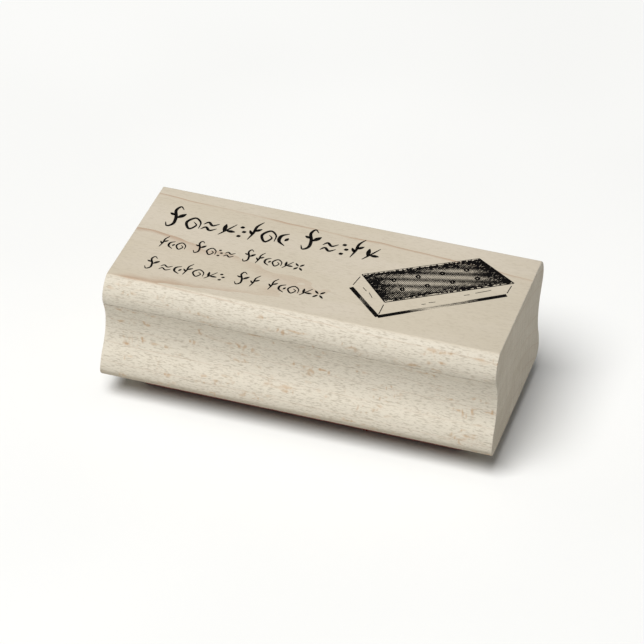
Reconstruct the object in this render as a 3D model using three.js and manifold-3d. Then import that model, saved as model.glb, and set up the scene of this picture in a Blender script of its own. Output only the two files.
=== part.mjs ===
// Wood-mounted rubber stamp: a moulded maple block on a foam cushion and a rubber die in relief.
// Millimetres, +Z up, +X along the block. The die's printing face lies on z = 0, centred under the block.

import * as THREE from 'three';
import { mergeVertices } from 'three/addons/utils/BufferGeometryUtils.js';
import Module from 'manifold-3d';

// ---- driving dimensions -------------------------------------------------------------------

// block
const blockLength = 76.2;
const blockHeight = 22.6;
const blockWidth = 35.3; // over the foot, the widest part
const footCornerRadius = 2.0; // rounding under the foot
const waistInset = 2.3; // how far the cove's waist lies inside the foot, on each side
const waistShare = 0.608; // the waist's place between the foot's corner and the quirk, from below
const footSwellShare = 0.445; // the foot's part of the two tangent radii that make the ogee
const beadRadius = 4.35;
const beadInset = 0.0; // how far the bead's crown lies inside the foot, on each side
const beadCentreDepth = 3.75; // bead centre below the flat top
const quirkDepth = 6.0; // the sharp groove under the bead, below the flat top

// layers glued under the block
const filmThickness = 0.15; // each adhesive film
const cushionThickness = 2.4;
const dieFloorThickness = 1.0; // rubber sheet that carries the relief
const reliefHeight = 1.0;
const dieEndInset = 6.35; // die edge to block end
const dieSideInset = 5.6; // die edge to the foot's widest line
const dieTrim = 0.9; // rubber left round the design
const dieCornerRadius = 1.2;

// design, drawn at the size of the printed index, read from above
const designLength = 69.7;
const designWidth = 25.2;
const designTilt = 2.5; // degrees that the rows climb
const strokeEnd = 0.3; // width at a stroke's ends
const strokeLeast = 0.45; // least width at a stroke's middle
const lineWidth = 0.45; // thin lines of the drawing
const barWidth = 1.05; // the drawing's thick base line
const dockHoleRadius = 0.5;

// facets
const arcSegments = 10;
const stepsPerSpan = 2;
const fewestSteps = 4;

// ---- the stack, from the floor up ---------------------------------------------------------

const dieThickness = dieFloorThickness + reliefHeight;
const dieFilmBottom = dieThickness;
const cushionBottom = dieFilmBottom + filmThickness;
const blockFilmBottom = cushionBottom + cushionThickness;
const blockBottom = blockFilmBottom + filmThickness;
const dieLength = blockLength - 2 * dieEndInset;
const dieWidth = blockWidth - 2 * dieSideInset;

// ---- materials ----------------------------------------------------------------------------

const maple = new THREE.MeshStandardMaterial({ color: 0xd9cfba, roughness: 0.6, metalness: 0 });
const film = new THREE.MeshStandardMaterial({ color: 0xe9e6dc, roughness: 0.35, metalness: 0 });
const foam = new THREE.MeshStandardMaterial({ color: 0x8a8d90, roughness: 0.95, metalness: 0 });
const rubber = new THREE.MeshStandardMaterial({ color: 0xb3563f, roughness: 0.7, metalness: 0 });

// ---- helpers ------------------------------------------------------------------------------

// Points on a circular arc from angle a0 to a1, both ends included.
function arcPoints(centreX, centreY, radius, a0, a1) {
  const points = [];
  for (let i = 0; i <= arcSegments; i += 1) {
    const angle = a0 + ((a1 - a0) * i) / arcSegments;
    points.push(new THREE.Vector2(centreX + radius * Math.cos(angle), centreY + radius * Math.sin(angle)));
  }
  return points;
}

// A rectangle with rounded corners, centred on the origin.
function roundedRectangle(length, width, radius) {
  const x = length / 2 - radius;
  const y = width / 2 - radius;
  const quarter = Math.PI / 2;
  const corners = [[x, y], [-x, y], [-x, -y], [x, -y]];
  return new THREE.Shape(
    corners.flatMap(([cx, cy], i) => arcPoints(cx, cy, radius, i * quarter, (i + 1) * quarter)),
  );
}

// A flat shape made into a plate from z = bottom upwards.
function plate(shape, bottom, thickness) {
  const geometry = new THREE.ExtrudeGeometry(shape, { depth: thickness, bevelEnabled: false });
  return geometry.translate(0, 0, bottom);
}

function namedMesh(name, geometry, material) {
  const mesh = new THREE.Mesh(geometry, material);
  mesh.name = name;
  return mesh;
}

const wasm = await Module();
wasm.setup();

function toManifold(geometry) {
  const bare = geometry.clone();
  bare.deleteAttribute('normal');
  bare.deleteAttribute('uv');
  const merged = mergeVertices(bare, 1e-5);
  return new wasm.Manifold(new wasm.Mesh({
    numProp: 3,
    vertProperties: new Float32Array(merged.attributes.position.array),
    triVerts: new Uint32Array(merged.index.array),
  }));
}

function toGeometry(solid) {
  const mesh = solid.getMesh();
  const geometry = new THREE.BufferGeometry();
  geometry.setAttribute('position', new THREE.BufferAttribute(new Float32Array(mesh.vertProperties), 3));
  geometry.setIndex(new THREE.BufferAttribute(new Uint32Array(mesh.triVerts), 1));
  geometry.computeVertexNormals();
  return geometry;
}

// ---- block --------------------------------------------------------------------------------

// The moulding's section. Each side is a rounded foot corner, a swell that runs into a hollow cove,
// a sharp quirk with a small step, and a round bead that ends at the flat top.
// The swell and the cove are tangent arcs: the sum of their radii follows from the rise and the inset.
function blockSection() {
  const halfFoot = blockWidth / 2;
  const quirkHeight = blockHeight - quirkDepth;
  const waistHeight = footCornerRadius + (quirkHeight - footCornerRadius) * waistShare;
  const rise = waistHeight - footCornerRadius;
  const radiiSum = (waistInset ** 2 + rise ** 2) / (2 * waistInset);
  const swellRadius = radiiSum * footSwellShare;
  const coveRadius = radiiSum - swellRadius;
  const coveCentre = halfFoot - waistInset + coveRadius;
  const tangentAngle = Math.asin(rise / radiiSum);
  const coveEnd = Math.asin((quirkHeight - waistHeight) / coveRadius);
  const beadCentre = halfFoot - beadInset - beadRadius;
  const beadHeight = blockHeight - beadCentreDepth;
  const beadStart = -Math.asin((quirkDepth - beadCentreDepth) / beadRadius);
  const beadEnd = Math.asin(beadCentreDepth / beadRadius);

  const corner = arcPoints(halfFoot - footCornerRadius, footCornerRadius, footCornerRadius, -Math.PI / 2, 0);
  const swell = arcPoints(halfFoot - swellRadius, footCornerRadius, swellRadius, 0, tangentAngle);
  const cove = arcPoints(coveCentre, waistHeight, coveRadius, Math.PI + tangentAngle, Math.PI - coveEnd);
  const bead = arcPoints(beadCentre, beadHeight, beadRadius, beadStart, beadEnd);
  const side = [...corner, ...swell.slice(1), ...cove.slice(1), ...bead];
  const otherSide = side.map((p) => new THREE.Vector2(-p.x, p.y)).reverse();
  return new THREE.Shape([...side, ...otherSide]);
}

function blockGeometry() {
  const geometry = new THREE.ExtrudeGeometry(blockSection(), { depth: blockLength, bevelEnabled: false });
  geometry.translate(0, 0, -blockLength / 2);
  const alongX = new THREE.Matrix4().makeBasis(
    new THREE.Vector3(0, 1, 0),
    new THREE.Vector3(0, 0, 1),
    new THREE.Vector3(1, 0, 0),
  );
  geometry.applyMatrix4(alongX);
  return geometry.translate(0, 0, blockBottom);
}

// ---- design -------------------------------------------------------------------------------

// Ornaments that fill the rows: tendrils, leaves, spirals and buds that spell nothing. Points are in
// units of the row's body height, and x starts at 0. A stroke's swell is its greatest width, in the
// same units; its ends are thin.
const ornaments = {
  tendril: {
    advance: 1.3,
    strokes: [
      {
        path: [[0.78, 1.5], [0.5, 1.72], [0.3, 1.35], [0.52, 0.8], [0.55, 0.25], [0.22, 0], [0.02, 0.3]],
        swell: 0.2,
      },
      { path: [[0.6, 0.75], [1.08, 1.2]], swell: 0.3 },
      { path: [[0.4, 0.95], [0.02, 1.1]], swell: 0.22 },
    ],
  },
  snail: {
    advance: 1.12,
    strokes: [
      {
        path: [[0.98, 0.2], [0.94, 0.7], [0.48, 1], [0.05, 0.55], [0.4, 0.06], [0.74, 0.42], [0.5, 0.66]],
        swell: 0.17,
      },
    ],
  },
  twig: {
    advance: 1.15,
    strokes: [
      { path: [[0.05, 0], [0.45, 0.45], [0.95, 1.05]], swell: 0.12 },
      { path: [[0.3, 0.3], [0.28, 0.95]], swell: 0.26 },
      { path: [[0.45, 0.4], [1.05, 0.42]], swell: 0.26 },
    ],
  },
  bloom: {
    advance: 1.05,
    strokes: [
      { path: [[0.42, 0.42], [0.06, 0.06]], swell: 0.24 },
      { path: [[0.58, 0.42], [0.94, 0.06]], swell: 0.24 },
      { path: [[0.42, 0.58], [0.06, 0.94]], swell: 0.24 },
      { path: [[0.58, 0.58], [0.94, 0.94]], swell: 0.24 },
    ],
  },
  ripple: {
    advance: 1.2,
    strokes: [
      { path: [[0, 0.2], [0.28, 0.42], [0.6, 0.2], [1, 0.42]], swell: 0.17 },
      { path: [[0.05, 0.62], [0.33, 0.84], [0.65, 0.62], [1.05, 0.84]], swell: 0.17 },
    ],
  },
  moon: {
    advance: 0.85,
    strokes: [
      { path: [[0.62, 1.02], [0.16, 0.75], [0.16, 0.3], [0.62, 0]], swell: 0.22 },
      { path: [[0.5, 0.38], [0.68, 0.66]], swell: 0.22 },
    ],
  },
  fern: {
    advance: 0.85,
    strokes: [
      { path: [[0.12, 0], [0.3, 0.6], [0.34, 1.15], [0.66, 1.6]], swell: 0.17 },
      { path: [[0.32, 0.72], [0.74, 1.02]], swell: 0.22 },
      { path: [[0.28, 0.42], [0, 0.78]], swell: 0.2 },
    ],
  },
  berries: {
    advance: 0.75,
    strokes: [
      { path: [[0.08, 0.1], [0.36, 0.2]], swell: 0.24 },
      { path: [[0.3, 0.5], [0.58, 0.6]], swell: 0.24 },
      { path: [[0.08, 0.85], [0.36, 0.95]], swell: 0.24 },
    ],
  },
};

// Rows from the top: height of the row's foot over the design's middle, its body height, where it starts
// and its length.
const rows = [
  {
    foot: 4.45, body: 4.05, start: -32.6, length: 41.8,
    words: [['tendril', 'snail', 'ripple', 'twig', 'berries', 'fern', 'snail', 'moon'],
      ['tendril', 'ripple', 'berries', 'fern', 'twig']],
  },
  {
    foot: -2.65, body: 2.35, start: -31.5, length: 28.0,
    words: [['fern', 'moon', 'snail'], ['tendril', 'snail', 'berries', 'ripple'],
      ['tendril', 'fern', 'moon', 'snail', 'twig', 'bloom']],
  },
  {
    foot: -10.2, body: 2.4, start: -32.0, length: 34.5,
    words: [['tendril', 'ripple', 'moon', 'fern', 'snail', 'twig', 'berries'], ['tendril', 'fern'],
      ['fern', 'moon', 'snail', 'twig', 'bloom']],
  },
];
const wordGap = 0.75; // in body heights

// The wafer drawing, in perspective: a slab's four top corners, and the base line under its near sides.
const slabCorners = [[7.3, 0], [26.4, 12.4], [34.6, 6.7], [13.8, -7.2]];
const baseLine = [[6.6, -4.7], [13.8, -12.0], [34.3, 2.5]];
const slabEdges = [[[7.2, -0.8], [6.7, -3.8]], [[13.8, -8], [13.8, -11.2]], [[34.4, 5.7], [34.2, 3.2]]];
const dockGrid = { along: 4, across: 2 };

// A ribbon along a smooth curve through the points, as a closed outline. Its width runs from thin ends
// to the swell at mid-length, as a sine.
function ribbon(points, endWidth, swell) {
  const knots = points.map(([x, y]) => new THREE.Vector3(x, y, 0));
  const curve = new THREE.CatmullRomCurve3(knots, false, 'centripetal');
  const count = Math.max(fewestSteps, (points.length - 1) * stepsPerSpan);
  const left = [];
  const right = [];
  for (let i = 0; i <= count; i += 1) {
    const t = i / count;
    const at = curve.getPoint(t);
    const along = curve.getTangent(t);
    const half = (endWidth + (swell - endWidth) * Math.sin(Math.PI * t)) / 2;
    left.push(new THREE.Vector2(at.x - along.y * half, at.y + along.x * half));
    right.push(new THREE.Vector2(at.x + along.y * half, at.y - along.x * half));
  }
  return new THREE.Shape([...right, ...left.reverse()]);
}

// One row's strokes. The unit of length along the row is set so that its words fill the row.
function rowShapes({ foot, body, start, length, words }) {
  const advances = words.flat().reduce((sum, name) => sum + ornaments[name].advance, 0);
  const unit = length / (advances + wordGap * (words.length - 1));
  const shapes = [];
  let x = start;
  words.forEach((word) => {
    word.forEach((name) => {
      ornaments[name].strokes.forEach(({ path, swell }) => {
        const points = path.map(([u, v]) => [x + u * unit, foot + v * body]);
        shapes.push(ribbon(points, strokeEnd, Math.max(swell * body, strokeLeast)));
      });
      x += ornaments[name].advance * unit;
    });
    x += wordGap * unit;
  });
  return shapes;
}

function slabShape() {
  const shape = new THREE.Shape(slabCorners.map(([x, y]) => new THREE.Vector2(x, y)));
  const [left, back, right, front] = slabCorners.map(([x, y]) => new THREE.Vector2(x, y));
  for (let i = 0; i < dockGrid.along; i += 1) {
    for (let j = 0; j < dockGrid.across; j += 1) {
      const u = (i + 1) / (dockGrid.along + 1);
      const v = (j + 1) / (dockGrid.across + 1);
      const far = left.clone().lerp(back, u);
      const near = front.clone().lerp(right, u);
      const centre = far.lerp(near, v);
      const rim = arcPoints(centre.x, centre.y, dockHoleRadius, 0, 2 * Math.PI);
      shape.holes.push(new THREE.Path(rim.slice(1)));
    }
  }
  return shape;
}

// ---- rubber die ---------------------------------------------------------------------------

// The relief keeps the design's places as seen from above, so that it prints what the index shows, and
// is its mirror image when the die is looked at. It is shrunk to the die.
function dieGeometry() {
  const tilt = THREE.MathUtils.degToRad(designTilt);
  const scale = Math.min((dieLength - 2 * dieTrim) / designLength, (dieWidth - 2 * dieTrim) / designWidth);
  const tilted = rows.flatMap(rowShapes).map((shape) => ({ shape, angle: tilt }));
  const level = [
    slabShape(),
    ...slabEdges.map((edge) => ribbon(edge, lineWidth, lineWidth)),
    ribbon(baseLine.slice(0, 2), barWidth, barWidth),
    ribbon(baseLine.slice(1), barWidth, barWidth),
  ].map((shape) => ({ shape, angle: 0 }));

  const bite = dieFloorThickness / 2; // how far each stroke runs into the sheet
  const sheetShape = roundedRectangle(dieLength, dieWidth, dieCornerRadius);
  let solid = toManifold(plate(sheetShape, reliefHeight, dieFloorThickness));
  [...tilted, ...level].forEach(({ shape, angle }) => {
    const stroke = new THREE.ExtrudeGeometry(shape, { depth: reliefHeight + bite, bevelEnabled: false });
    stroke.rotateZ(angle).scale(scale, scale, 1);
    solid = solid.add(toManifold(stroke));
  });
  return toGeometry(solid);
}

// ---- assembly -----------------------------------------------------------------------------

const layer = roundedRectangle(dieLength, dieWidth, dieCornerRadius);
const group = new THREE.Group();
group.add(namedMesh('wood_block', blockGeometry(), maple));
group.add(namedMesh('cushion_adhesive', plate(layer, blockFilmBottom, filmThickness), film));
group.add(namedMesh('foam_cushion', plate(layer, cushionBottom, cushionThickness), foam));
group.add(namedMesh('die_adhesive', plate(layer, dieFilmBottom, filmThickness), film));
group.add(namedMesh('rubber_die', dieGeometry(), rubber));

export default group;
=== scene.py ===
import math

import bpy
import numpy as np
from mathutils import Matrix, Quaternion, Vector


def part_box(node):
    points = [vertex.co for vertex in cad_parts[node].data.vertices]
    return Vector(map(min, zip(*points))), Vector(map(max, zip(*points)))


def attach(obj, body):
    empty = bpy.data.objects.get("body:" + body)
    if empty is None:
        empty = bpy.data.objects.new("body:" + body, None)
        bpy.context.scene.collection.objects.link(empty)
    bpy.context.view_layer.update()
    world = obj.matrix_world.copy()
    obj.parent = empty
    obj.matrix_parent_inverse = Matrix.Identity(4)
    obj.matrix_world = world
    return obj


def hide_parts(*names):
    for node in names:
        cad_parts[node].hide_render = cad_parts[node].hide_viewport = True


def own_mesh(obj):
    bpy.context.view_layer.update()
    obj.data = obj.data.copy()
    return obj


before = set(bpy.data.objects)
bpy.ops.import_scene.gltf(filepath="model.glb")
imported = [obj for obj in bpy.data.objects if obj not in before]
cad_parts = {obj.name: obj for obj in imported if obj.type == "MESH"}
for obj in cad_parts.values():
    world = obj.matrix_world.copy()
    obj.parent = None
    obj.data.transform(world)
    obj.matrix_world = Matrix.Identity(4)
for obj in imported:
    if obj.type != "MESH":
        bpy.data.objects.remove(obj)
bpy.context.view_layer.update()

mm = 0.001
blockLow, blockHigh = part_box("wood_block")
eased = dict(interpolation_type="SMOOTHSTEP")  # settings for a range that starts and ends softly
blended = dict(give=2, data_type="RGBA")  # settings for a mix of two colours


def linear(hexColour):  # an sRGB hex colour as linear RGBA
    parts = [int(hexColour[i:i + 2], 16) / 255 for i in (1, 3, 5)]
    return [p / 12.92 if p <= 0.04045 else ((p + 0.055) / 1.055) ** 2.4 for p in parts] + [1.0]


def node(tree, kind, inputs=(), give=0, **settings):
    # adds a node, sets its options, then sets or links its inputs, and gives back one of its outputs
    made = tree.nodes.new("ShaderNode" + kind)
    for key, value in settings.items():
        setattr(made, key, value)
    for key, value in inputs.items() if isinstance(inputs, dict) else enumerate(inputs):
        if isinstance(value, bpy.types.NodeSocket):
            tree.links.new(value, made.inputs[key])
        else:
            made.inputs[key].default_value = value
    return made.outputs[give] if made.outputs else made


def newMaterial(name):
    made = bpy.data.materials.new(name)
    made.use_nodes = True
    made.node_tree.nodes.clear()
    return made, made.node_tree


def patternMask(tree, place, mark):
    # noise whose lumps have the mark's size in mm, turned into a mask that runs from its start to full
    scale = [1 / (s * mm) for s in mark["size"]]
    shift = mark.get("shift", (0, 0, 0))
    vector = node(tree, "Mapping", {"Vector": place, "Location": shift, "Scale": scale})
    lumps = node(tree, "TexNoise", {"Vector": vector, "Scale": 1.0, "Detail": mark.get("detail", 1.5),
                                    "Distortion": mark.get("distortion", 0.0)})
    return node(tree, "MapRange", [lumps, mark["start"], mark["full"], 0.0, 1.0], **eased)


def painted(tree, colour, mask, mark):  # the mark's colour laid over a colour, at its strength
    share = node(tree, "Math", [mask, mark["strength"]], operation="MULTIPLY")
    return node(tree, "Mix", {0: share, 6: colour, 7: linear(mark["colour"])}, **blended)


def meshPiece(name, vertices, faces, materials, body, smooth=True):
    mesh = bpy.data.meshes.new(name)
    mesh.from_pydata(vertices.tolist(), [], faces)
    for material in materials:
        mesh.materials.append(material)
    mesh.polygons.foreach_set("use_smooth", np.full(len(mesh.polygons), smooth))
    mesh.update()
    piece = bpy.data.objects.new(name, mesh)
    bpy.context.scene.collection.objects.link(piece)
    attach(piece, body)
    return piece


def arc(centre, radius, start, end, count):  # points on a circular arc, angles in radians
    angle = np.linspace(start, end, count)
    return np.stack([centre[0] + radius * np.cos(angle), centre[1] + radius * np.sin(angle)], 1)


def evenOutline(points, spacing):  # a closed outline walked at even steps
    closed = np.vstack([points, points[:1]])
    run = np.concatenate([[0], np.cumsum(np.linalg.norm(np.diff(closed, axis=0), axis=1))])
    at = np.linspace(0, run[-1], int(round(run[-1] / spacing)), endpoint=False)
    return np.stack([np.interp(at, run, closed[:, 0]), np.interp(at, run, closed[:, 1])], 1)


def sanded(points, reach):  # a running mean along a closed outline, which eases its corners
    offsets = range(-reach, reach + 1)
    return sum(np.roll(points, k, axis=0) for k in offsets) / len(offsets)


def outwards(points):  # unit normals of a closed counter-clockwise outline
    along = np.roll(points, -1, axis=0) - np.roll(points, 1, axis=0)
    normal = np.stack([along[:, 1], -along[:, 0]], 1)
    return normal / np.linalg.norm(normal, axis=1, keepdims=True)


def tubeFaces(rings, count):  # quads between closed rings of count points, and a face over each end
    ring, point = np.meshgrid(np.arange(rings - 1), np.arange(count), indexing="ij")
    here, after = ring * count + point, ring * count + (point + 1) % count
    quads = np.stack([here, after, after + count, here + count], 2).reshape(-1, 4).tolist()
    last = (rings - 1) * count
    return quads + [list(range(count))[::-1], [last + i for i in range(count)]]


# Hard maple, planed and sanded, bare: a matt cream wood. The growth rings show as thin pink-brown lines,
# the vessels as short dark dashes along the grain, and the rays as tan spots where the cut runs along them.
maple = dict(
    pale="#C8BEAD", deep="#C4BAA7", cloud=dict(size=(24, 8, 5), start=0.36, full=0.64, detail=2.5),
    # painted light: the moulded sides are drawn paler than the flat top, as the normal's upward part turns
    # this far
    side=dict(colour="#CFC8B9", strength=0.8, turn=(0.95, 0.7)),
    # painted shade where the foot turns under, darker towards the bottom, up to this share of the stamp's
    # height
    foot=dict(colour="#8F8470", strength=0.75, turn=(0.2, -0.3), rise=0.2),
    ring=dict(colour="#A98B72", strength=0.8, spacing=3.0, width=0.2, faintest=0.3, onSides=0.45),  # mm
    ringWander=dict(size=(13, 5, 5), amount=0.2, detail=2.0),
    ringFade=dict(size=(12, 5, 3), start=0.3, full=0.62),
    ringGraze=dict(turn=(0.975, 0.999), left=0.3),
    pith=dict(side=-8.0, depth=60.0, slope=0.017),  # its line below the flat top, in mm, dipping along X
    late=dict(colour="#B39B80", strength=0.06, start=0.45),  # the darker wood that ends in the ring line
    vessels=[  # drawn about twice as thick as real ones, so that they show
        dict(colour="#8A7D69", strength=0.42, size=(1.0, 0.2, 0.2), start=0.51, full=0.68, distortion=0.3),
        dict(colour="#A09480", strength=0.35, size=(0.6, 0.15, 0.15), start=0.55, full=0.72),
    ],
    topVessels=0.35,  # the flat top is sanded finer, which hides most of them
    rays=[
        dict(colour="#AF8E6A", strength=0.6, size=(1.8, 2.0, 0.7), start=0.56, full=0.77, detail=0.3),
        dict(colour="#AF8E6A", strength=0.6, size=(0.6, 2.4, 1.1), start=0.57, full=0.77, detail=0.3),
    ],
    rayZone=dict(size=(7, 8, 1.8), start=0.5, full=0.66, shift=(3, 1, 2), turn=(0.8, 0.3)),
    roughness=0.6, openRoughness=0.12, ior=1.5, specular=0.25, bump=dict(strength=0.5, depth=0.05),
)
# The same wood sawn across: a little darker, because the open vessels take in light, with fine saw lines.
sawnEnd = dict(
    pale="#C2B9A7", deep="#B9AF9B",
    saw=dict(size=(9, 0.45, 9), start=0.4, full=0.66, colour="#ABA08E", strength=0.4),
    pores=dict(size=(3, 0.2, 0.2), start=0.56, full=0.7, colour="#8D816D", strength=0.4),
)


def mapleRings(tree, place, look):
    # distance from the pith's line, counted in ring spacings, with a slow wander; and the unit vector away
    # from that line
    parts = node(tree, "SeparateXYZ", [place]).node.outputs
    pith = look["pith"]
    side = node(tree, "Math", [parts["Y"], -pith["side"] * mm], operation="ADD")
    depth = pith["depth"] * mm - blockHigh.z
    rise = node(tree, "Math", [parts["X"], pith["slope"], depth], operation="MULTIPLY_ADD")
    above = node(tree, "Math", [parts["Z"], rise], operation="ADD")
    away = node(tree, "CombineXYZ", [0.0, side, above])
    distance = node(tree, "VectorMath", [away], give="Value", operation="LENGTH")
    slow = look["ringWander"]
    scale = [1 / (s * mm) for s in slow["size"]]
    vector = node(tree, "Mapping", {"Vector": place, "Scale": scale})
    wander = node(tree, "TexNoise", {"Vector": vector, "Scale": 1.0, "Detail": slow["detail"]})
    amount = slow["amount"]
    wander = node(tree, "Math", [wander, amount, -amount / 2], operation="MULTIPLY_ADD")
    perLength = 1 / (look["ring"]["spacing"] * mm)
    rings = node(tree, "Math", [distance, perLength, wander], operation="MULTIPLY_ADD")
    return rings, node(tree, "VectorMath", [away], operation="NORMALIZE")


def ringLines(tree, place, share, square, look):
    # the last of each ring as a thin line, faint in places; where the surface grazes the ring, the line is
    # cut so flat that it is wide, and fainter still
    ring, graze = look["ring"], look["ringGraze"]
    start = 1 - ring["width"] / ring["spacing"]
    line = node(tree, "MapRange", [share, start, 1.0, 0.0, 1.0], **eased)
    fade = patternMask(tree, place, look["ringFade"])
    fade = node(tree, "MapRange", [fade, 0.0, 1.0, ring["faintest"], 1.0])
    line = node(tree, "Math", [line, fade], operation="MULTIPLY")
    flat = node(tree, "MapRange", [square, *graze["turn"], 1.0, graze["left"]], **eased)
    return node(tree, "Math", [line, flat], operation="MULTIPLY")


def planedColour(tree, coordinates, colour, line, square, look):
    # painted light that makes the sides paler, painted shade at the foot, ring lines, vessels, and rays where
    # the surface runs along them; gives back the colour and the vessels' masks
    place = coordinates["Object"]
    up = node(tree, "SeparateXYZ", [coordinates["Normal"]], give=2)
    level = node(tree, "Math", [up], operation="ABSOLUTE")
    # painted light: the steeper the surface, the paler it is drawn, so the sides read brighter than the top
    steep = node(tree, "MapRange", [level, *look["side"]["turn"], 0.0, 1.0], **eased)
    colour = painted(tree, colour, steep, look["side"])
    # painted shade on the downward-facing foot, darker towards the bottom of the block
    under = node(tree, "MapRange", [up, *look["foot"]["turn"], 0.0, 1.0], **eased)
    height = node(tree, "SeparateXYZ", [place], give=2)
    footShadeTop = blockLow.z + look["foot"]["rise"] * blockHigh.z
    low = node(tree, "MapRange", [height, footShadeTop, blockLow.z, 0.0, 1.0])
    colour = painted(tree, colour, node(tree, "Math", [under, low], operation="MULTIPLY"), look["foot"])
    kept = node(tree, "MapRange", [steep, 0.0, 1.0, 1.0, look["ring"]["onSides"]])
    colour = painted(tree, colour, node(tree, "Math", [line, kept], operation="MULTIPLY"), look["ring"])
    cut = node(tree, "MapRange", [steep, 0.0, 1.0, look["topVessels"], 1.0])
    masks = []
    for mark in look["vessels"]:
        masks.append(node(tree, "Math", [patternMask(tree, place, mark), cut], operation="MULTIPLY"))
        colour = painted(tree, colour, masks[-1], mark)
    zone = look["rayZone"]
    along = node(tree, "MapRange", [square, *zone["turn"], 0.0, 1.0], **eased)
    along = node(tree, "Math", [along, patternMask(tree, place, zone)], operation="MULTIPLY")
    for mark in look["rays"]:
        spots = node(tree, "Math", [patternMask(tree, place, mark), along], operation="MULTIPLY")
        colour = painted(tree, colour, spots, mark)
    return colour, masks


def sawnColour(tree, place, colour, line, look, sawn):  # ring lines, saw lines and open pores, with masks
    colour = painted(tree, colour, line, look["ring"])
    masks = []
    for mark in (sawn["saw"], sawn["pores"]):
        masks.append(patternMask(tree, place, mark))
        colour = painted(tree, colour, masks[-1], mark)
    return colour, masks


def mapleMaterial(name, look, sawn=None):
    material, tree = newMaterial(name)
    coordinates = node(tree, "TexCoord").node.outputs
    place = coordinates["Object"]
    rings, away = mapleRings(tree, place, look)
    share = node(tree, "Math", [rings], operation="FRACT")
    # 1 where the surface lies along the rings, 0 where it runs along the rays
    facing = node(tree, "VectorMath", [away, coordinates["Normal"]], give="Value", operation="DOT_PRODUCT")
    square = node(tree, "Math", [facing, facing], operation="MULTIPLY")
    line = ringLines(tree, place, share, square, look)
    late = node(tree, "MapRange", [share, look["late"]["start"], 1.0, 0.0, 1.0], **eased)
    tones = sawn or look
    cloud = patternMask(tree, place, look["cloud"])
    colour = node(tree, "Mix", {0: cloud, 6: linear(tones["pale"]), 7: linear(tones["deep"])}, **blended)
    colour = painted(tree, colour, late, look["late"])
    if sawn:
        colour, masks = sawnColour(tree, place, colour, line, look, sawn)
    else:
        colour, masks = planedColour(tree, coordinates, colour, line, square, look)
    height = node(tree, "Math", [masks[0], -1.0, 1.0], operation="MULTIPLY_ADD")
    bump = node(tree, "Bump", {"Height": height, "Strength": look["bump"]["strength"],
                               "Distance": look["bump"]["depth"] * mm})
    rough = node(tree, "Math", [masks[1], look["openRoughness"], look["roughness"]], operation="MULTIPLY_ADD")
    shader = node(tree, "BsdfPrincipled", {
        "Base Color": colour, "Roughness": rough, "IOR": look["ior"], "Specular IOR Level": look["specular"],
        "Normal": bump})
    node(tree, "OutputMaterial", {"Surface": shader})
    return material


# Black pigment ink, printed: nearly black and matt, a little paler where the grain took it up unevenly.
inkLook = dict(
    black="#060505", thin=dict(colour="#241F1B", strength=0.5, size=(0.9, 0.22, 0.22), start=0.45, full=0.75),
    roughness=0.72, specular=0.08,
)
# Natural rubber, moulded hot: brick red and matt, with talc left in it as paler patches.
rubberLook = dict(
    red="#8A4032",
    talc=dict(colour="#B98372", strength=0.45, size=(3.5, 3.5, 1.5), start=0.42, full=0.72, detail=4),
    grit=dict(size=(0.12, 0.12, 0.12), start=0.3, full=0.7, strength=0.4, depth=0.02),
    roughness=0.6, ior=1.52,
)
# Closed-cell foam, cut with a knife: mid grey, with the opened cells as pits about 0.3 mm across, dark with
# painted shade.
foamLook = dict(
    grey="#74787B",
    tone=dict(colour="#83878A", strength=0.7, size=(5, 5, 1.2), start=0.4, full=0.65, detail=3),
    pitShade="#3E4143", cell=0.3, wall=(0.12, 0.5), roughness=0.95, specular=0.15,
    bump=dict(strength=0.6, depth=0.08),
)
# Acrylic adhesive on film: cream and half glossy, with faint streaks from the roller.
filmLook = dict(
    cream="#E6E1D3", streak=dict(colour="#CFC8B4", strength=0.6, size=(9, 0.6, 0.6), start=0.4, full=0.65),
    roughness=0.32, ior=1.47,
)


patchRoughness = 0.1  # how much rougher a plain material is where its pattern is full


def plainMaterial(name, base, mark, values, grit=None):
    # one base colour with one soft pattern over it, and a fine bump where the surface has grit
    material, tree = newMaterial(name)
    place = node(tree, "TexCoord").node.outputs["Object"]
    mask = patternMask(tree, place, mark)
    inputs = {"Base Color": painted(tree, linear(base), mask, mark),
              "Roughness": node(tree, "Math", [mask, patchRoughness, values["roughness"]],
                                operation="MULTIPLY_ADD")}
    if "ior" in values:
        inputs["IOR"] = values["ior"]
    if "specular" in values:
        inputs["Specular IOR Level"] = values["specular"]
    if grit:
        inputs["Normal"] = node(tree, "Bump", {
            "Height": patternMask(tree, place, grit), "Strength": grit["strength"],
            "Distance": grit["depth"] * mm})
    node(tree, "OutputMaterial", {"Surface": node(tree, "BsdfPrincipled", inputs)})
    return material


def foamMaterial(look):
    material, tree = newMaterial("closedCellFoam")
    place = node(tree, "TexCoord").node.outputs["Object"]
    vector = node(tree, "Mapping", {"Vector": place, "Scale": [1 / (look["cell"] * mm)] * 3})
    centre = node(tree, "TexVoronoi", {"Vector": vector, "Scale": 1.0})
    wall = node(tree, "MapRange", [centre, *look["wall"], 0.0, 1.0], **eased)
    body = painted(tree, linear(look["grey"]), patternMask(tree, place, look["tone"]), look["tone"])
    # painted shade: dark grey towards each cell's middle, the foam's own grey on the walls between
    colour = node(tree, "Mix", {0: wall, 6: linear(look["pitShade"]), 7: body}, **blended)
    bump = node(tree, "Bump", {"Height": wall, "Strength": look["bump"]["strength"],
                               "Distance": look["bump"]["depth"] * mm})
    shader = node(tree, "BsdfPrincipled", {
        "Base Color": colour, "Roughness": look["roughness"], "Specular IOR Level": look["specular"],
        "Normal": bump})
    node(tree, "OutputMaterial", {"Surface": shader})
    return material


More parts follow.
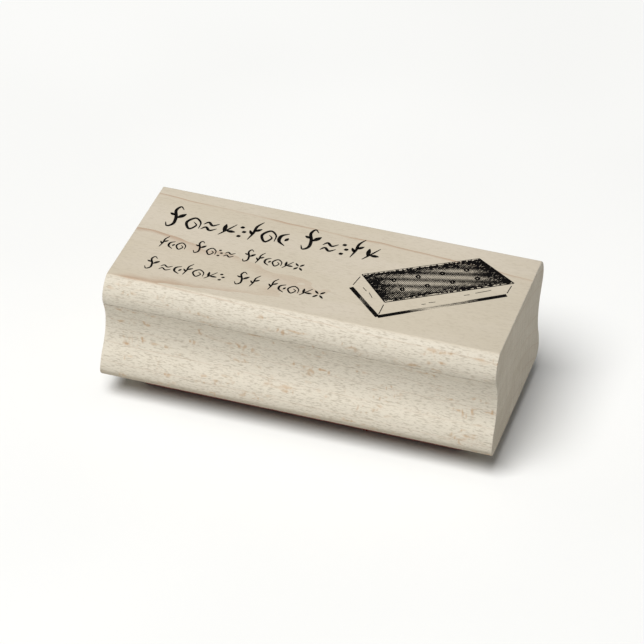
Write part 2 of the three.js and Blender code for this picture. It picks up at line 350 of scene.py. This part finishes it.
planedMaple = mapleMaterial("planedMaple", maple)
sawnMaple = mapleMaterial("sawnMapleEndGrain", maple, sawnEnd)
ink = plainMaterial("printedPigmentInk", inkLook["black"], inkLook["thin"], inkLook)
rubber = plainMaterial("mouldedNaturalRubber", rubberLook["red"], rubberLook["talc"], rubberLook,
                       rubberLook["grit"])
adhesive = plainMaterial("acrylicAdhesiveFilm", filmLook["cream"], filmLook["streak"], filmLook)
foam = foamMaterial(foamLook)
print("materials made")

camera = dict(  # degrees and metres, with the lens and the sensor in mm
    azimuth=16.03, elevation=35.485, roll=2.12, distance=0.5942, lens=177.03, sensor=36.0, nearest=0.05,
    farthest=5.0, aim=(0.00012, -0.00067, 0.0152),
)


def backwards(azimuth, elevation):  # the direction from the object to a place seen at these angles
    a, e = math.radians(azimuth), math.radians(elevation)
    return Vector((math.sin(a) * math.cos(e), -math.cos(a) * math.cos(e), math.sin(e)))


def placeLooking(item, back, at, distance, roll=0.0):
    item.rotation_mode = "QUATERNION"
    item.rotation_quaternion = (-back).to_track_quat("-Z", "Y") @ Quaternion((0, 0, 1), math.radians(roll))
    item.location = Vector(at) + back * distance
    bpy.context.scene.collection.objects.link(item)


def makeCamera(values):
    data = bpy.data.cameras.new("camera")
    data.lens, data.sensor_width = values["lens"], values["sensor"]
    data.clip_start, data.clip_end = values["nearest"], values["farthest"]
    made = bpy.data.objects.new("camera", data)
    back = backwards(values["azimuth"], values["elevation"])
    placeLooking(made, back, values["aim"], values["distance"], values["roll"])
    bpy.context.scene.camera = made


makeCamera(camera)

blockShape = dict(  # the moulding's section and its saw cuts, in mm
    footCorner=2.0, waistInset=2.3, waistShare=0.608, swellShare=0.445, beadRadius=4.35,
    beadCentreDepth=3.75, quirkDepth=6.0, groove=(0.3, 0.28), arcSteps=(24, 40, 60, 60), outlineStep=0.1,
    sandReach=1,
    endLean=(0.85, 0.33),  # how far the left and the right end's top lies inside its foot: no square cuts
    endEase=0.13, endRagged=0.07, raggedReach=5, seed=11,
    # the left half's rings: place as a share of half the length, how far back from there, share of the easing
    rings=[(-1, 0, 1), (-1, 0.04, 0.4), (-1, 0.16, 0), (-0.5, 0, 0)],
)


def blockOutline(shape, width, height):
    # foot corner, swell and cove as tangent arcs, a fine groove under the bead, bead: the right side, then
    # its mirror image
    half = width / 2
    quirk = height - shape["quirkDepth"]
    corner = shape["footCorner"]
    waist = corner + (quirk - corner) * shape["waistShare"]
    rise = waist - corner
    radii = (shape["waistInset"] ** 2 + rise ** 2) / (2 * shape["waistInset"])
    swell = radii * shape["swellShare"]
    cove = radii - swell
    tangent = math.asin(rise / radii)
    wide, deep = shape["groove"]
    coveEnd = math.asin((quirk - wide / 2 - waist) / cove)
    bead = shape["beadRadius"]
    beadStart = -math.asin((shape["quirkDepth"] - wide / 2 - shape["beadCentreDepth"]) / bead)
    beadEnd = math.asin(shape["beadCentreDepth"] / bead)
    steps = shape["arcSteps"]
    coveMiddle = (half - shape["waistInset"] + cove, waist)
    side = np.vstack([
        arc((half - corner, corner), corner, -math.pi / 2, 0, steps[0]),
        arc((half - swell, corner), swell, 0, tangent, steps[1])[1:],
        arc(coveMiddle, cove, math.pi + tangent, math.pi - coveEnd, steps[2])[1:],
        [(half - bead * (1 - math.cos(beadStart)) - deep, quirk)],
        arc((half - bead, height - shape["beadCentreDepth"]), bead, beadStart, beadEnd, steps[3]),
    ])
    outline = evenOutline(np.vstack([side, side[::-1] * [-1, 1]]), shape["outlineStep"])
    return sanded(outline, shape["sandReach"])


def makeBlock(shape):
    # the outline carried along X; each end leans in towards the top, and its last rings are drawn in by the
    # ragged edge that the saw and a touch of sandpaper leave
    size = (blockHigh - blockLow) / mm
    outline = blockOutline(shape, size.y, size.z)
    normal = outwards(outline)
    count = len(outline)
    rng = np.random.default_rng(shape["seed"])
    mean = np.ones(shape["raggedReach"]) / shape["raggedReach"]
    ragged = np.convolve(np.tile(rng.random(count), 3), mean, "same")[count:2 * count]
    ease = (shape["endEase"] + shape["endRagged"] * (2 * ragged - 1))[:, None]
    rings = []
    left = shape["rings"]
    right = [(-share, back, inset) for share, back, inset in left[::-1]]
    for share, back, inset in left + [(0, 0, 0)] + right:
        lean = shape["endLean"][0 if share < 0 else 1] * outline[:, 1] / size.z * (abs(share) == 1)
        x = share * size.x / 2 - np.sign(share) * (back + lean)
        rings.append(np.column_stack([x * np.ones(count), outline - normal * ease * inset]))
    vertices = np.vstack(rings) * mm + [0, 0, blockLow.z]
    faces = tubeFaces(len(rings), count)
    block = meshPiece("maple_block", vertices, faces, [planedMaple, sawnMaple], "handle")
    for end in block.data.polygons[-2:]:
        end.material_index = 1
        end.use_smooth = False
    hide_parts("wood_block")


makeBlock(blockShape)
print("block made")

# Ornaments of the rows, in body heights: how far each moves the row on, then its strokes, each with the
# points it runs through and its greatest width. They are tendrils, leaves and buds, and spell nothing.
ornaments = dict(
    tendril=(1.3, [
        ([(0.78, 1.5), (0.5, 1.72), (0.3, 1.35), (0.52, 0.8), (0.55, 0.25), (0.22, 0), (0.02, 0.3)], 0.2),
        ([(0.6, 0.75), (1.08, 1.2)], 0.3),
        ([(0.4, 0.95), (0.02, 1.1)], 0.22)]),
    snail=(1.12, [
        ([(0.98, 0.2), (0.94, 0.7), (0.48, 1), (0.05, 0.55), (0.4, 0.06), (0.74, 0.42), (0.5, 0.66)], 0.17)]),
    twig=(1.15, [
        ([(0.05, 0), (0.45, 0.45), (0.95, 1.05)], 0.12),
        ([(0.3, 0.3), (0.28, 0.95)], 0.26),
        ([(0.45, 0.4), (1.05, 0.42)], 0.26)]),
    bloom=(1.05, [
        ([(0.42, 0.42), (0.06, 0.06)], 0.24),
        ([(0.58, 0.42), (0.94, 0.06)], 0.24),
        ([(0.42, 0.58), (0.06, 0.94)], 0.24),
        ([(0.58, 0.58), (0.94, 0.94)], 0.24)]),
    ripple=(1.2, [
        ([(0, 0.2), (0.28, 0.42), (0.6, 0.2), (1, 0.42)], 0.17),
        ([(0.05, 0.62), (0.33, 0.84), (0.65, 0.62), (1.05, 0.84)], 0.17)]),
    moon=(0.85, [
        ([(0.62, 1.02), (0.16, 0.75), (0.16, 0.3), (0.62, 0)], 0.22),
        ([(0.5, 0.38), (0.68, 0.66)], 0.22)]),
    fern=(0.85, [
        ([(0.12, 0), (0.3, 0.6), (0.34, 1.15), (0.66, 1.6)], 0.17),
        ([(0.32, 0.72), (0.74, 1.02)], 0.22),
        ([(0.28, 0.42), (0, 0.78)], 0.2)]),
    berries=(0.75, [
        ([(0.08, 0.1), (0.36, 0.2)], 0.24),
        ([(0.3, 0.5), (0.58, 0.6)], 0.24),
        ([(0.08, 0.85), (0.36, 0.95)], 0.24)]),
)
# Rows from the top, in mm: the row's foot, its body height, where it starts, its length, and its words.
rows = [
    dict(foot=4.45, body=4.05, start=-32.6, length=41.8, words=[
        "tendril snail ripple twig berries fern snail moon", "tendril ripple berries fern twig"]),
    dict(foot=-2.65, body=2.35, start=-31.5, length=28.0, words=[
        "fern moon snail", "tendril snail berries ripple", "tendril fern moon snail twig bloom"]),
    dict(foot=-10.2, body=2.4, start=-32.0, length=34.5, words=[
        "tendril ripple moon fern snail twig berries", "tendril fern", "fern moon snail twig bloom"]),
]
rowStyle = dict(tilt=2.5, wordGap=0.75, steps=8)  # degrees, units of advance, steps from point to point
# The wafer drawing, in mm: the slab's top corners, its base line, and the thin edges and dashes of its sides.
wafer = dict(
    slab=[(7.3, 0.0), (26.4, 12.4), (34.6, 6.7), (13.8, -7.2)],
    base=[(6.6, -4.7), (13.8, -12.0), (34.3, 2.5)],
    edges=[[(7.2, -0.8), (6.7, -3.8)], [(13.8, -8.0), (13.8, -11.2)], [(34.4, 5.7), (34.2, 3.2)]],
    dashes=[[(8.7, -4.0), (9.6, -4.9)], [(10.2, -5.2), (11.2, -6.6)], [(20.3, -5.6), (21.0, -5.2)],
            [(21.4, -4.6), (22.5, -4.0)], [(26.9, -0.2), (27.8, 0.4)], [(28.7, 1.2), (31.2, 3.1)]],
    bandPitch=2.3, bandSlant=0.3, dockRadius=0.46, docks=(4, 2), border=(0.16, 0.22), ragged=0.05,
    barWidth=0.85, edgeSteps=6, dashShare=0.8,
    # how thick each rim is from the left corner on, near side first, and the open ring round a dock hole
    rims=(0.7, 0.7, 0.9, 0.4), rimSteps=20, ringShare=0.85, ringTurn=(0.2, 1.85 * math.pi), ringSteps=14,
)
# How dark the slab is inked, as a share of the line pitch: solid at its border, paler inside by a mean and a
# swing from band to band; the border's noise; bare specks, their share and reach into the border; dock holes.
slabInk = dict(
    solid=1.06, paler=0.46, swing=0.26, borderStart=0.3, borderNoise=0.2, speck=0.6, speckShare=0.06,
    speckReach=0.8, grain=0.05, hole=0.3, holeShare=0.4, least=0.1, most=1.08, seed=5,
)
# How a brushed bar runs dry towards its middle, as a share of a strand's pitch.
barInk = dict(
    full=1.15, least=0.06, most=1.1, wornSpan=1.6, wornStart=0.75, dry=0.6, streak=2.4, wet=0.35, lean=0.25,
    steps=48, streakReach=5, seed=9,
)


def smoothPath(points, perSpan):
    # Catmull-Rom curve: each span is a cubic through its two points, with slopes taken from the neighbours
    p = np.array(points, float)
    if len(p) == 2:
        return p[0] + (p[1] - p[0]) * np.linspace(0, 1, perSpan + 1)[:, None]
    ends = np.vstack([2 * p[0] - p[1], p, 2 * p[-1] - p[-2]])
    a, b, c, d = (ends[k:len(p) - 1 + k, None] for k in range(4))
    t = np.linspace(0, 1, perSpan, endpoint=False)[None, :, None]
    curve = (2 * a - 5 * b + 4 * c - d) * t ** 2 + (3 * b - a - 3 * c + d) * t ** 3
    spans = 0.5 * (2 * b + (c - a) * t + curve)
    return np.vstack([spans.reshape(-1, 2), p[-1:]])


def strokeSolid(path, halfWidth, foot, crown, shoulder=0.0):
    # a bar with four corners at each step of its path: halfWidth to each side at the crown's height, and
    # the shoulder more at the foot's
    along = np.gradient(path, axis=0)
    along /= np.linalg.norm(along, axis=1, keepdims=True)
    across = np.stack([-along[:, 1], along[:, 0]], 1)
    top, low = across * halfWidth[:, None], across * (halfWidth + shoulder)[:, None]
    corners = [(path + top, crown), (path - top, crown), (path - low, foot), (path + low, foot)]
    if crown > foot:
        corners = corners[::-1]
    points = np.stack([np.column_stack([xy, np.full(len(xy), z)]) for xy, z in corners], 1)
    return points.reshape(-1, 3), tubeFaces(len(path), 4)


def joined(solids):
    starts = np.cumsum([0] + [len(v) for v, _ in solids])
    faces = [[i + start for i in face] for (_, fs), start in zip(solids, starts) for face in fs]
    return np.vstack([v for v, _ in solids]), faces


def rowStrokes(ends, least, thinned=1.0):
    # every stroke of the rows as a path and its half widths: thin ends and a full middle, as a sine
    turn = math.radians(rowStyle["tilt"])
    spin = np.array([[math.cos(turn), math.sin(turn)], [-math.sin(turn), math.cos(turn)]])
    found = []
    for row in rows:
        words = [w.split() for w in row["words"]]
        advances = sum(ornaments[n][0] for w in words for n in w) + rowStyle["wordGap"] * (len(words) - 1)
        unit = row["length"] / advances
        x = row["start"]
        for word in words:
            for name in word:
                advance, strokes = ornaments[name]
                for points, swell in strokes:
                    at = np.array(points) * [unit, row["body"]] + [x, row["foot"]]
                    path = smoothPath(at @ spin, rowStyle["steps"])
                    width = max(swell * thinned * row["body"], least)
                    middle = np.sin(np.pi * np.linspace(0, 1, len(path)))
                    found.append((path, (ends + (width - ends) * middle) / 2))
                x += advance * unit
            x += rowStyle["wordGap"] * unit
    return found


def slabPoint(u, v):  # a place on the drawn slab: u along it, v from its far side to its near side
    left, back, right, front = (np.array(c) for c in wafer["slab"])
    u, v = np.asarray(u)[..., None], np.asarray(v)[..., None]
    return (left * (1 - u) + back * u) * (1 - v) + (front * (1 - u) + right * u) * v


def dockPlaces():
    along, across = wafer["docks"]
    u, v = np.meshgrid((np.arange(along) + 1) / (along + 1), (np.arange(across) + 1) / (across + 1))
    return slabPoint(u.ravel(), v.ravel())


def slabTone(u, v, rng):
    # how dark the slab is drawn: full near its border, with specks left bare, and in bands along its middle;
    # a dock hole is a dark ring round a paler spot
    at = slabPoint(u, v)
    border = np.minimum(np.minimum(u, 1 - u) / wafer["border"][0], np.minimum(v, 1 - v) / wafer["border"][1])
    noise = rng.normal(0, slabInk["borderNoise"], u.shape)
    inside = np.clip(border - slabInk["borderStart"] + noise, 0, 1)
    wave = np.cos(2 * np.pi * (at[..., 1] - wafer["bandSlant"] * at[..., 0]) / wafer["bandPitch"])
    specks = (rng.random(u.shape) < slabInk["speckShare"]) * (border < slabInk["speckReach"])
    tone = slabInk["solid"] - inside * (slabInk["paler"] + slabInk["swing"] * wave)
    tone = tone - slabInk["speck"] * specks + rng.normal(0, slabInk["grain"], u.shape)
    for dock in dockPlaces():
        apart = np.linalg.norm(at - dock, axis=-1) / wafer["dockRadius"]
        tone = np.where(apart < 1, slabInk["solid"], tone)
        tone = np.where(apart < slabInk["holeShare"], slabInk["hole"], tone)
    return np.clip(tone, slabInk["least"], slabInk["most"])


def slabStrokes(pitch, steps):  # the slab as lines drawn across it, side by side, as wide as its tone
    rng = np.random.default_rng(slabInk["seed"])
    length = np.linalg.norm(np.subtract(wafer["slab"][1], wafer["slab"][0]))
    lines = int(length / pitch)
    found = []
    for u in (np.arange(lines) + 0.5) / lines:
        v = np.linspace(rng.uniform(0, wafer["ragged"]), 1 - rng.uniform(0, wafer["ragged"]), steps)
        at = np.full(steps, u)
        found.append((slabPoint(at, v), slabTone(at, v, rng) * pitch / 2))
    return found


def barStrokes(start, end, strands, worn):
    # a thick brushed line: strands side by side, each thinner at random where the worn share, from 0 at
    # the ends to full in the middle, takes it
    rng = np.random.default_rng(barInk["seed"])
    path = smoothPath([start, end], barInk["steps"])
    along = np.subtract(end, start) / np.linalg.norm(np.subtract(end, start))
    across = np.array([-along[1], along[0]])
    pitch = wafer["barWidth"] / strands
    share = np.linspace(0, 1, len(path))
    middle = np.clip(np.sin(np.pi * share) * barInk["wornSpan"] - barInk["wornStart"], 0, 1) * worn
    reach = barInk["streakReach"]
    found = []
    for k in range(strands):
        dry = np.convolve(rng.random(len(path) + reach - 1), np.ones(reach) / reach, "valid")
        loss = barInk["dry"] + barInk["streak"] * (dry - barInk["wet"]) + barInk["lean"] * k / strands
        tone = np.clip(barInk["full"] - middle * loss, barInk["least"], barInk["most"])
        found.append((path + across * (k - (strands - 1) / 2) * pitch, tone * pitch / 2))
    return found


def lineStrokes(width, rim):
    # the drawing's thin edges and dashes, the slab's dark rims, and the rings round its dock holes
    found = []
    edges = [(edge, 1.0) for edge in wafer["edges"]]
    for points, share in edges + [(dash, wafer["dashShare"]) for dash in wafer["dashes"]]:
        path = smoothPath(points, wafer["edgeSteps"])
        found.append((path, np.full(len(path), width * share / 2)))
    left, back, right, front = wafer["slab"]
    corners = [left, front, right, back, left]
    for start, end, share in zip(corners[:-1], corners[1:], wafer["rims"]):
        path = smoothPath([start, end], wafer["rimSteps"])
        found.append((path, np.full(len(path), rim * share / 2)))
    for dock in dockPlaces():
        path = arc(dock, wafer["dockRadius"] * wafer["ringShare"], *wafer["ringTurn"], wafer["ringSteps"])
        found.append((path, np.full(len(path), width)))
    return found


indexPrint = dict(  # mm, and how thinned the rows' strokes are and how worn the two bars
    film=0.02, sunk=0.01, ends=0.14, least=0.24, thinned=0.82, hatchPitch=0.3, hatchSteps=56, line=0.17,
    rim=0.32, strands=4, worn=(0.35, 1.0),
)


def printStrokes(name, strokes):  # strokes as a film of ink on the flat top, sunk into it a little
    top = blockHigh.z / mm
    low, high = top - indexPrint["sunk"], top + indexPrint["film"]
    vertices, faces = joined([strokeSolid(path, half, low, high) for path, half in strokes])
    meshPiece(name, vertices * mm, faces, [ink], "handle", smooth=False)


printStrokes("index_rows", rowStrokes(indexPrint["ends"], indexPrint["least"], indexPrint["thinned"]))
drawing = slabStrokes(indexPrint["hatchPitch"], indexPrint["hatchSteps"])
for start, end, worn in zip(wafer["base"][:-1], wafer["base"][1:], indexPrint["worn"]):
    drawing += barStrokes(start, end, indexPrint["strands"], worn)
printStrokes("index_drawing", drawing + lineStrokes(indexPrint["line"], indexPrint["rim"]))
print("index printed")


def roundedPlate(box, corner, step, cornerSteps=12):  # outline of a rectangle with round corners, in mm
    x, y = (box[1].x - box[0].x) / 2 / mm - corner, (box[1].y - box[0].y) / 2 / mm - corner
    quarter = math.pi / 2
    corners = [(x, y), (-x, y), (-x, -y), (x, -y)]
    points = [arc(c, corner, i * quarter, (i + 1) * quarter, cornerSteps) for i, c in enumerate(corners)]
    return evenOutline(np.vstack(points), step)


cushion = dict(corner=1.2, step=0.3, rows=9, hollow=0.14, tremble=0.05, seed=3)  # mm


def makeCushion(values):
    # the outline carried up in rows, drawn in at mid-height as a sine, where the cut foam has relaxed,
    # with the knife's small tremble
    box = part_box("foam_cushion")
    outline = roundedPlate(box, values["corner"], values["step"])
    normal = outwards(outline)
    rng = np.random.default_rng(values["seed"])
    low, high = box[0].z / mm, box[1].z / mm
    points = []
    for share in np.linspace(0, 1, values["rows"]):
        cut = values["hollow"] * math.sin(math.pi * share) + values["tremble"] * rng.random(len(outline))
        level = np.full(len(outline), low + (high - low) * share)
        points.append(np.column_stack([outline - normal * cut[:, None], level]))
    faces = tubeFaces(values["rows"], len(outline))
    piece = meshPiece("cut_foam_cushion", np.vstack(points) * mm, faces, [foam], "handle")
    for end in piece.data.polygons[-2:]:
        end.use_smooth = False
    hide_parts("foam_cushion")
    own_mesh(piece)


makeCushion(cushion)
for name in ("cushion_adhesive", "die_adhesive"):
    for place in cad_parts[name].material_slots:
        place.material = adhesive

die = dict(  # mm, and how worn the drawing's bars are
    corner=1.2, step=0.3, bevel=0.15, backEase=0.05, floor=1.0, trim=0.9, shoulder=0.14, sunk=0.1,
    designLength=69.7, designWidth=25.2, ends=0.3, least=0.45, line=0.4, rim=0.6, hatchPitch=0.8,
    hatchSteps=30, strands=2, worn=0.5,
)


def makeDie(values):
    # a rubber sheet with its lower edge eased, and the design's strokes as bars with sloping shoulders
    # standing out of it down to the floor
    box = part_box("rubber_die")
    size = (box[1] - box[0]) / mm
    relief = size.z - values["floor"]
    outline = roundedPlate(box, values["corner"], values["step"])
    normal = outwards(outline)
    bevel, ease = values["bevel"], values["backEase"]
    levels = [(relief, bevel), (relief + bevel, 0), (size.z - ease, 0), (size.z, ease)]
    points = [np.column_stack([outline - normal * inset, np.full(len(outline), z)]) for z, inset in levels]
    sheet = (np.vstack(points), tubeFaces(len(levels), len(outline)))
    scale = min((size.x - 2 * values["trim"]) / values["designLength"],
                (size.y - 2 * values["trim"]) / values["designWidth"])
    strokes = rowStrokes(values["ends"], values["least"])
    strokes += slabStrokes(values["hatchPitch"], values["hatchSteps"])
    for start, end in zip(wafer["base"][:-1], wafer["base"][1:]):
        strokes += barStrokes(start, end, values["strands"], values["worn"])
    strokes += lineStrokes(values["line"], values["rim"])
    foot = relief + values["sunk"]
    bars = [strokeSolid(path * scale, half * scale, foot, 0.0, values["shoulder"]) for path, half in strokes]
    vertices, faces = joined([sheet] + bars)
    piece = meshPiece("relief_die", vertices * mm, faces, [rubber], "die", smooth=False)
    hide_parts("rubber_die")


makeDie(die)
print("cushion and die made")

studio = dict(
    floor="#ECECEA",
    floorShade=dict(colour="#E9E9E7", strength=1.0, size=(90, 90, 90), start=0.35, full=0.65),
    floorFinish=dict(roughness=0.8, specular=0.1), floorSize=12.0,
    ambient=0.175, key=243.0, keySize=3.2, keyDistance=4.4, keyAzimuth=-22.0, keyElevation=63.0,
)


def makeStudio(values):
    bpy.ops.mesh.primitive_plane_add(size=values["floorSize"])
    floor = bpy.context.object
    floor.name = "floor"
    board = plainMaterial("paintedBoard", values["floor"], values["floorShade"], values["floorFinish"])
    floor.data.materials.append(board)
    world = bpy.data.worlds.new("softRoom")
    world.use_nodes = True
    background = world.node_tree.nodes["Background"]
    background.inputs["Color"].default_value = linear("#FFFFFF")
    background.inputs["Strength"].default_value = values["ambient"]
    bpy.context.scene.world = world
    lamp = bpy.data.lights.new("key", "AREA")
    lamp.shape, lamp.size, lamp.energy = "DISK", values["keySize"], values["key"]
    key = bpy.data.objects.new("key", lamp)
    back = backwards(values["keyAzimuth"], values["keyElevation"])
    placeLooking(key, back, (0, 0, 0), values["keyDistance"])
    bpy.context.scene.view_settings.view_transform = "Standard"


makeStudio(studio)
print("studio made")
